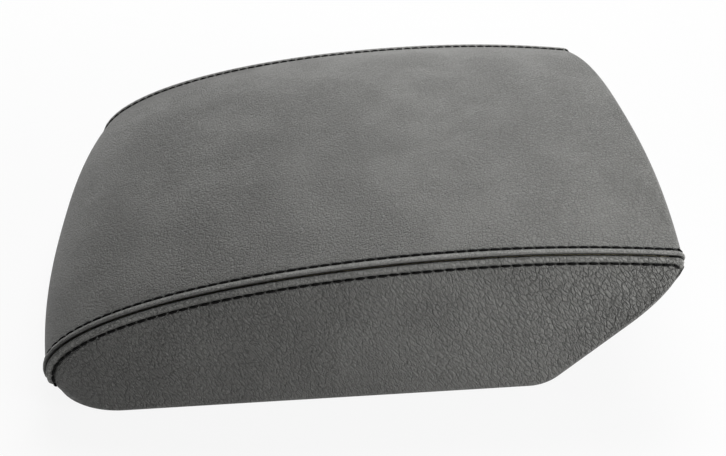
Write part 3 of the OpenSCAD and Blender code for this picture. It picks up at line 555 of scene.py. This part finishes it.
def foam_finish():
    """Moulded foam with open pores and a cloudy tone."""
    f = Finish("Foam")
    flat = f.coordinates()
    pores = f.between(f.cells(flat, 900, "F1")["Distance"], 0.05, 0.5)
    tone = f.noise(flat, 30, detail=3)["Fac"]
    colour = f.mix(tone, (0.62, 0.55, 0.33, 1), (0.74, 0.68, 0.48, 1))
    # Painted shade: the pores are darkened in the colour, standing in for the shade inside them
    return f.set(
        Base_Color=f.mix(pores, (0.34, 0.29, 0.17, 1), colour),
        Roughness=0.92,
        Normal=f.bump(pores, 0.0003),
    )


def moulded_finish(name, colour, grain, roughness, depth):
    """Textured plastic, with the fine spark grain of a mould and faint handling marks."""
    f = Finish(name)
    flat = f.coordinates()
    spark = f.noise(flat, 1 / grain, detail=3, roughness=0.6)["Fac"]
    cloud = f.noise(flat, 22, detail=4)["Fac"]
    rubs = f.between(f.noise(f.coordinates(scale=(9, 1, 2)), 380, detail=3)["Fac"], 0.58, 0.75)
    tone = f.mix(cloud, rgba(colour, 0.82), rgba(colour, 1.25))
    return f.set(
        Base_Color=f.mix(rubs * 0.35, tone, rgba(colour, 1.9)),
        Roughness=roughness + spark * 0.16 - rubs * 0.08,
        Normal=f.bump(spark, depth),
    )


def steel_finish():
    """Zinc plated steel with rolling lines and a clouded passivation."""
    f = Finish("Plated steel")
    flat = f.coordinates()
    lines = f.noise(f.coordinates(scale=(40, 1, 1)), 2400, detail=3)["Fac"]
    cloud = f.noise(flat, 55, detail=4)["Fac"]
    tint = f.mix(cloud, (0.5, 0.5, 0.48, 1), (0.62, 0.63, 0.66, 1))
    dull = f.between(cloud, 0.45, 0.75)
    return f.set(
        Base_Color=tint,
        Metallic=1.0,
        Roughness=0.28 + lines * 0.16 + dull * 0.12,
        Normal=f.bump(lines, 0.00002),
    )


def rubber_finish():
    """Matt black rubber with a chalky bloom."""
    f = Finish("Rubber")
    flat = f.coordinates()
    bloom = f.noise(flat, 140, detail=4)["Fac"]
    fine = f.noise(flat, 2400)["Fac"]
    return f.set(
        Base_Color=f.mix(bloom, (0.012, 0.012, 0.012, 1), (0.04, 0.04, 0.039, 1)),
        Roughness=0.72 + bloom * 0.14,
        Normal=f.bump(fine, 0.00006),
    )


class ArmrestLeather(bpy.types.PropertyGroup):
    colour: FloatVectorProperty(
        name="Colour", description="Colour of the leather", subtype="COLOR", size=3, min=0, max=1,
        default=(0.175, 0.175, 0.166),
    )
    grain: FloatProperty(
        name="Grain", description="Width of one pebble of the top's grain", unit="LENGTH", precision=4,
        min=0.0004, max=0.004, default=0.0012,
    )
    side_grain: FloatProperty(
        name="Side grain", description="Width of one pebble of the side panels' grain", unit="LENGTH",
        precision=4, min=0.0004, max=0.004, default=0.0014,
    )
    roughness: FloatProperty(
        name="Roughness", description="Roughness of the leather before its grain", subtype="FACTOR",
        min=0, max=1, default=0.5,
    )


class ArmrestSeams(bpy.types.PropertyGroup):
    samples: IntProperty(
        name="Points per stitch", description="Rows of points of the leather for each stitch",
        min=3, max=8, default=5,
    )
    thread: FloatProperty(
        name="Thread", description="Thickness of the sewing thread", unit="LENGTH", precision=4,
        min=0.0004, max=0.0016, default=0.0014,
    )
    stitch: FloatProperty(
        name="Stitch", description="Length of a stitch that shows", unit="LENGTH", precision=4,
        min=0.002, max=0.005, default=0.0045,
    )


class ArmrestStudio(bpy.types.PropertyGroup):
    key: FloatProperty(
        name="Key light", description="Power of the key light", unit="POWER", min=0, default=2.6,
    )
    back: FloatProperty(
        name="Back light", description="Power of the back light", unit="POWER", min=0, default=21.8,
    )
    ambient: FloatProperty(
        name="Ambient", description="Level of the surrounding light", min=0, max=2, default=0.05,
    )


# The camera stands in front of the near side, turned a little towards the front lip
CAMERA_PLACE = (-0.023, -0.4411, 0.3449)
CAMERA_DOWN = math.radians(36.4)
CAMERA_TURN = math.radians(4.7)
CAMERA_LENS = 47.93

# Share of the floor's look that is plain white paper, and the distances over which the rest fades out
PAPER_GLOW = 0.9
PAPER_FADE = (0.2, 0.9)


class ARMREST_OT_camera(bpy.types.Operator):
    """Places the camera where the photograph was taken from"""

    bl_idname = "armrest.camera"
    bl_label = "Camera"

    def execute(self, context):
        data = bpy.data.cameras.new("Camera")
        data.lens = CAMERA_LENS
        data.clip_start = 0.01
        camera = bpy.data.objects.new("Camera", data)
        context.collection.objects.link(camera)
        down, turn = CAMERA_DOWN, CAMERA_TURN
        view = Vector((math.cos(down) * math.sin(turn), math.cos(down) * math.cos(turn), -math.sin(down)))
        camera.location = CAMERA_PLACE
        camera.rotation_euler = view.to_track_quat("-Z", "Y").to_euler()
        context.scene.camera = camera
        return {"FINISHED"}


# Place and diameter of each lamp, and the point that both shine at, in metres
KEY_LAMP = ((0.45, -0.36, 0.19), 0.26)
BACK_LAMP = ((0.1, 0.78, 1.0), 0.9)
LAMP_AIM = (0, 0, 0.04)

# Half width of the floor, and how far it lies below the stops, whose feet are on the ground plane
FLOOR_REACH = 6
FLOOR_DROP = 0.0003


class ARMREST_OT_studio(bpy.types.Operator):
    """Builds the pale floor, the lamps and the surrounding light"""

    bl_idname = "armrest.studio"
    bl_label = "Studio"

    def execute(self, context):
        context.scene.view_settings.view_transform = "Standard"
        levels = context.scene.armrest_studio
        self.make_floor()
        self.make_world(context, levels.ambient)
        self.make_lamp(context, "Key", *KEY_LAMP, levels.key)
        self.make_lamp(context, "Back", *BACK_LAMP, levels.back)
        return {"FINISHED"}

    def make_floor(self):
        bm = bmesh.new()
        low = Matrix.Translation((0, 0, -FLOOR_DROP))
        bmesh.ops.create_grid(bm, x_segments=1, y_segments=1, size=FLOOR_REACH, matrix=low)
        floor = finish_mesh(bm, "floor", smooth=False)
        f = Finish("Floor")
        flat = f.coordinates()
        paper = f.noise(flat, 40, detail=3)["Fac"]
        f.set(Base_Color=f.mix(paper, (0.58, 0.58, 0.58, 1), (0.62, 0.62, 0.62, 1)), Roughness=0.9)
        # The camera sees the paper mostly as white, with a share of its shadows near the armrest
        seen = f.node("ShaderNodeLightPath", {}, {})
        reach = f.vector_maths("LENGTH", {0: flat}, "Value")
        glow_share = PAPER_GLOW + f.between(reach, *PAPER_FADE) * (1 - PAPER_GLOW)
        glow = f.node("ShaderNodeEmission", {}, {"Color": (1, 1, 1, 1)})["Emission"]
        lit = Wire(f, f.shader.outputs["BSDF"])
        share = seen["Is Camera Ray"].most(seen["Is Glossy Ray"]) * glow_share
        surface = f.node("ShaderNodeMixShader", {}, {0: share, 1: lit, 2: glow})["Shader"]
        output = next(n for n in f.tree.nodes if n.type == "OUTPUT_MATERIAL")
        f.connect(output.inputs["Surface"], surface)
        give_finish(floor, f.material)

    def make_world(self, context, ambient):
        world = bpy.data.worlds.new("Studio light")
        world.use_nodes = True
        tree = world.node_tree
        sky = tree.nodes["Background"]
        sky.inputs["Color"].default_value = (1, 1, 1, 1)
        path = tree.nodes.new("ShaderNodeLightPath")
        mirrored = tree.nodes.new("ShaderNodeMath")
        mirrored.operation = "MAXIMUM"
        tree.links.new(path.outputs["Is Glossy Ray"], mirrored.inputs[0])
        tree.links.new(path.outputs["Is Transmission Ray"], mirrored.inputs[1])
        seen = tree.nodes.new("ShaderNodeMath")
        seen.operation = "MAXIMUM"
        tree.links.new(path.outputs["Is Camera Ray"], seen.inputs[0])
        tree.links.new(mirrored.outputs["Value"], seen.inputs[1])
        level = tree.nodes.new("ShaderNodeMapRange")
        level.inputs["To Min"].default_value = ambient
        level.inputs["To Max"].default_value = 1.0
        tree.links.new(seen.outputs["Value"], level.inputs["Value"])
        tree.links.new(level.outputs["Result"], sky.inputs["Strength"])
        context.scene.world = world

    def make_lamp(self, context, name, place, size, power):
        data = bpy.data.lights.new(name, "AREA")
        data.shape = "DISK"
        data.size = size
        data.energy = power
        lamp = bpy.data.objects.new(name, data)
        context.collection.objects.link(lamp)
        lamp.location = place
        aim = Vector(LAMP_AIM) - Vector(place)
        lamp.rotation_euler = aim.to_track_quat("-Z", "Y").to_euler()
        lamp.visible_camera = False


class ARMREST_OT_top_cover(bpy.types.Operator):
    """Builds the crowned leather panel between the two seams"""

    bl_idname = "armrest.top_cover"
    bl_label = "Top cover"

    def execute(self, context):
        look = context.scene.armrest_leather
        stations, run = even_stations(STITCH_PITCH / context.scene.armrest_seams.samples)
        body = PaddedBody(stations)
        rows = len(stations)
        near = RIDGE_COLUMNS[None, :].repeat(rows, 0)
        v_near = near / body.half_seam[:, None] - 1
        inner = np.linspace(0, 1, TOP_COLUMNS)[None, 1:]
        v_inner = v_near[:, -1:] * (1 - inner)
        v = np.concatenate([v_near, v_inner], 1)
        distance = (1 + v) * body.half_seam[:, None]
        half = body.top(v)
        base = self.with_hems(self.both_sides(half))
        depth = self.both_sides(distance, flip=False)
        ends = (base.shape[0] - rows) // 2
        fade = np.pad(run_out(run), ends)[:, None]
        depth = np.pad(depth, ((ends, ends), (0, 0)), mode="edge")
        narrow = TOP_NARROWING * np.pad(body.narrowing(), ends, mode="edge")[:, None]
        along = np.pad(run, ends, mode="edge")[:, None]
        normals = grid_normals(base)
        normals *= np.sign(normals[rows // 2, base.shape[1] // 2, 2])
        across = depth * narrow
        lift = (ridge_lift(across) - stitch_pull(across, along)) * fade
        side = body.side(near[:, :2] / body.side_height()[:, None])
        side_normal = self.side_normals(body, side)
        dive = unit(normals[ends : ends + rows, 0] + side_normal)
        dive = np.pad(dive, ((ends, ends), (0, 0)), mode="edge")
        sink = (groove_dive(depth) * fade)[..., None]
        mirrored = dive * [1, -1, 1]
        half_columns = base.shape[1] // 2
        right = dive[:, None].repeat(half_columns, 1)
        left = mirrored[:, None].repeat(base.shape[1] - half_columns, 1)
        pull = np.concatenate([right, left], 1)
        place = base + normals * lift[..., None] - pull * sink
        obj = grid_mesh("leather_top", place[:, ::-1], depth[:, ::-1])
        give_finish(obj, leather_finish("Leather top", look.grain, *TOP_GRAIN))
        leather_wall(obj)
        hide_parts("top_cover")
        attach(obj, "lid")
        return {"FINISHED"}

    def side_normals(self, body, side):
        """Outward normals of the side panel along the seam."""
        return unit(np.cross(side[:, 1] - side[:, 0], np.gradient(body.seam, axis=0)))

    def both_sides(self, half, flip=True):
        """The half from the right seam to the crown, and its mirror image to the left seam."""
        other = half[:, -2::-1].copy()
        if flip:
            other[..., 1] *= -1
        return np.concatenate([half, other], 1)

    def with_hems(self, top):
        """Adds the hems that turn in under the rear nose and under the front lip."""
        rolls = smooth_path(HEM, HEM_POINTS)[1:]
        rear = [self.hem_row(top[0], roll, 1, 1) for roll in rolls[::-1]]
        front = [self.hem_row(top[-1], roll, -1, 1 - roll[0] * 2 / SEAM_WIDTH) for roll in rolls]
        return np.concatenate([rear, top, front])

    def hem_row(self, edge, roll, way, mitre):
        x = edge[:, 0] + way * roll[0]
        return points(x, edge[:, 1] * mitre, floor_z(x, roll[1]))


class ARMREST_OT_side_covers(bpy.types.Operator):
    """Builds the leather side panels below the seams"""

    bl_idname = "armrest.side_covers"
    bl_label = "Side covers"

    def execute(self, context):
        look = context.scene.armrest_leather
        stations, run = even_stations(STITCH_PITCH / context.scene.armrest_seams.samples)
        body = PaddedBody(stations)
        height = body.side_height()[:, None]
        near = RIDGE_COLUMNS[None, :] * np.minimum(1, 0.45 * height / RIDGE_COLUMNS[-1])
        t_near = near / height
        share = np.linspace(0, 1, SIDE_COLUMNS)[None, 1:]
        t = np.concatenate([t_near, t_near[:, -1:] + (1 - t_near[:, -1:]) * share], 1)
        wall = body.side(t)
        rolls = smooth_path(HEM, HEM_POINTS)[1:]
        hem = np.stack([self.hem_column(body, roll) for roll in rolls], 1)
        base = np.concatenate([wall, hem], 1)
        distance = np.concatenate([t * height, np.full(hem.shape[:2], 99.0)], 1)
        fade = run_out(run)[:, None]
        normals = -grid_normals(base)
        normals *= np.sign(-normals[len(stations) // 2, 30, 1])
        across = distance * body.narrowing()[:, None]
        lift = (ridge_lift(across) - stitch_pull(across, run[:, None])) * fade
        top = body.top(RIDGE_COLUMNS[None, :3] / body.half_seam[:, None] - 1)
        top_normal = unit(np.cross(np.gradient(body.seam, axis=0), top[:, 1] - top[:, 0]))
        dive = unit(normals[:, 0] + top_normal)[:, None]
        place = base + normals * lift[..., None] - dive * (groove_dive(distance) * fade)[..., None]
        rear = self.corner_rows(body, place, rolls, 0, 1)
        front = self.corner_rows(body, place, rolls, -1, -1)
        place = np.concatenate([rear[::-1], place, front])
        distance = np.pad(distance, ((len(rear), len(front)), (0, 0)), mode="edge")
        for side, sign in (("right", 1), ("left", -1)):
            made = place * [1, sign, 1]
            made = made if sign > 0 else made[:, ::-1]
            depth = distance if sign > 0 else distance[:, ::-1]
            obj = grid_mesh(f"leather_side_{side}", made, depth)
            give_finish(obj, leather_finish(f"Leather side {side}", look.side_grain, *SIDE_GRAIN))
            leather_wall(obj)
            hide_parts(f"side_cover_{side}")
            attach(obj, "lid")
        return {"FINISHED"}

    def corner_rows(self, body, place, rolls, end, way):
        """Rows that close a corner of the rim, from the side panel's end to the top's hem."""
        corner, row = body.seam[end], place[end]
        shares = [roll[0] * 2 / SEAM_WIDTH if way < 0 else 0 for roll in rolls]
        hem = [points(corner[0] + way * roll[0], corner[1] * (1 - k), 0) for roll, k in zip(rolls, shares)]
        hem = np.array([[x, y, floor_z(x, roll[1])] for (x, y, _), roll in zip(hem, rolls)])
        goal = np.concatenate([corner[None, :].repeat(len(row) - len(hem), 0), hem])
        return np.array([row + (goal - row) * share for share in (0.25, 0.5, 0.75, 0.98)])

    def hem_column(self, body, roll):
        plan = body.rim[:, :2] + body.turn * roll[0]
        return points(plan[:, 0], plan[:, 1], floor_z(plan[:, 0], roll[1]))


class ARMREST_OT_stitches(bpy.types.Operator):
    """Lays a row of short stitches in the valley on each side of each seam"""

    bl_idname = "armrest.stitches"
    bl_label = "Stitches"

    def execute(self, context):
        settings = context.scene.armrest_seams
        stations, run = even_stations(STITCH_PITCH / 8)
        body = PaddedBody(stations)
        height = body.side_height()[:, None]
        middle = STITCH_OFFSET / body.narrowing()[:, None]
        columns = np.concatenate([middle - 0.3, middle, middle + 0.3], 1)
        on_top = body.top(columns / TOP_NARROWING / body.half_seam[:, None] - 1)
        on_side = body.side(columns / height)
        material = thread_finish()
        for side, sign in (("right", 1), ("left", -1)):
            bm = bmesh.new()
            self.lay_row(bm, on_top, run, 1, sign, settings)
            self.lay_row(bm, on_side, run, -1, sign, settings)
            obj = finish_mesh(bm, f"stitches_{side}")
            give_finish(obj, material)
            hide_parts(f"seam_thread_{side}")
            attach(obj, "lid")
        return {"FINISHED"}

    def lay_row(self, bm, line, run, way, sign, settings):
        """One row: each stitch is a small thread that dips into the leather at both ends."""
        path = line[:, 1] * [1, sign, 1]
        normals = way * unit(np.cross(np.gradient(line[:, 1], axis=0), line[:, 2] - line[:, 0]))
        normals = normals * [1, sign, 1]
        count = int(run[-1] / STITCH_PITCH)
        for k in range(1, count):
            middle = k * STITCH_PITCH
            at = [np.interp(middle, run, path[:, c]) for c in range(3)]
            ahead = [np.interp(middle + 1, run, path[:, c]) for c in range(3)]
            up = Vector([np.interp(middle, run, normals[:, c]) for c in range(3)]).normalized()
            along = (Vector(ahead) - Vector(at)).normalized()
            across = up.cross(along)
            place = Matrix((across, up, along)).transposed().to_4x4()
            place.translation = (Vector(at) + STITCH_LIFT * up) * MM
            size = Matrix.Diagonal((settings.thread / 2, settings.thread / 2, settings.stitch / 2, 1))
            bmesh.ops.create_uvsphere(bm, u_segments=6, v_segments=6, radius=1, matrix=place @ size)


class ARMREST_OT_foam(bpy.types.Operator):
    """Builds the foam pad under the leather"""

    bl_idname = "armrest.foam"
    bl_label = "Foam pad"

    def execute(self, context):
        bm = bmesh.new()
        bm.from_mesh(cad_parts["foam_pad"].data)
        bmesh.ops.remove_doubles(bm, verts=bm.verts, dist=0.02 * MM)
        axes = {"use_axis_x": True, "use_axis_y": True, "use_axis_z": True}
        bmesh.ops.smooth_vert(bm, verts=bm.verts, factor=0.1, **axes)
        obj = finish_mesh(bm, "foam_body")
        give_finish(obj, foam_finish())
        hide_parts("foam_pad")
        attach(obj, "lid")
        return {"FINISHED"}


class ARMREST_OT_mouldings(bpy.types.Operator):
    """Gives the plastic and rubber mouldings their finishes"""

    bl_idname = "armrest.mouldings"
    bl_label = "Mouldings"

    # For each node: the finish's name, its colour, grain and roughness, and the depth of the grain
    PLASTICS = {
        "lid_shell": ("Carrier plastic", (0.03, 0.03, 0.032), 0.0009, 0.42, 0.00003),
        "liner_panel": ("Liner plastic", (0.036, 0.036, 0.037), 0.0007, 0.5, 0.00008),
        "latch_housing": ("Latch housing plastic", (0.028, 0.028, 0.029), 0.0008, 0.4, 0.00003),
        "latch_lever": ("Paddle plastic", (0.033, 0.033, 0.034), 0.0006, 0.38, 0.00005),
    }

    def execute(self, context):
        finishes = {node: moulded_finish(*look) for node, look in self.PLASTICS.items()}
        acetal = moulded_finish("Acetal", (0.8, 0.79, 0.73), 0.0012, 0.3, 0.00001)
        rubber = rubber_finish()
        finishes |= {n: acetal for n in ("hinge_bushing_left", "hinge_bushing_right", "friction_washer")}
        finishes |= {n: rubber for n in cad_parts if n.startswith("stop_")}
        for node, material in finishes.items():
            give_finish(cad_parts[node], material)
        return {"FINISHED"}


class ARMREST_OT_hardware(bpy.types.Operator):
    """Gives the steel hinge, pins, clips, springs and screws their finish"""

    bl_idname = "armrest.hardware"
    bl_label = "Hardware"

    STEEL = (
        "hinge_console_leaf", "hinge_lid_leaf", "hinge_pin", "hinge_clip", "hinge_lid_screws", "wave_washer",
        "liner_screws", "latch_screws", "latch_pin", "latch_clip", "latch_spring",
    )

    def execute(self, context):
        steel = steel_finish()
        for node in self.STEEL:
            give_finish(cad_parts[node], steel)
        return {"FINISHED"}


STEPS = (
    ARMREST_OT_camera,
    ARMREST_OT_studio,
    ARMREST_OT_top_cover,
    ARMREST_OT_side_covers,
    ARMREST_OT_stitches,
    ARMREST_OT_foam,
    ARMREST_OT_mouldings,
    ARMREST_OT_hardware,
)


class ARMREST_PT_sidebar(bpy.types.Panel):
    """Lists the steps that build the armrest"""

    bl_idname = "ARMREST_PT_sidebar"
    bl_label = "Centre armrest"
    bl_space_type = "VIEW_3D"
    bl_region_type = "UI"
    bl_category = "Armrest"

    def draw(self, context):
        layout = self.layout
        for group in ("armrest_leather", "armrest_seams", "armrest_studio"):
            settings = getattr(context.scene, group)
            for name in settings.bl_rna.properties.keys():
                if name not in ("rna_type", "name"):
                    layout.prop(settings, name)
        for step in STEPS:
            layout.operator(step.bl_idname)


GROUPS = {"armrest_leather": ArmrestLeather, "armrest_seams": ArmrestSeams, "armrest_studio": ArmrestStudio}


def register():
    for cls in (*GROUPS.values(), *STEPS, ARMREST_PT_sidebar):
        bpy.utils.register_class(cls)
    for name, group in GROUPS.items():
        setattr(bpy.types.Scene, name, PointerProperty(type=group))


def unregister():
    for name in GROUPS:
        delattr(bpy.types.Scene, name)
    for cls in (ARMREST_PT_sidebar, *reversed(STEPS), *GROUPS.values()):
        bpy.utils.unregister_class(cls)


def main():
    register()
    bpy.ops.armrest.camera()
    bpy.ops.armrest.studio()
    bpy.ops.armrest.top_cover()
    bpy.ops.armrest.side_covers()
    bpy.ops.armrest.stitches()
    bpy.ops.armrest.foam()
    bpy.ops.armrest.mouldings()
    bpy.ops.armrest.hardware()


if __name__ == "__main__":
    main()
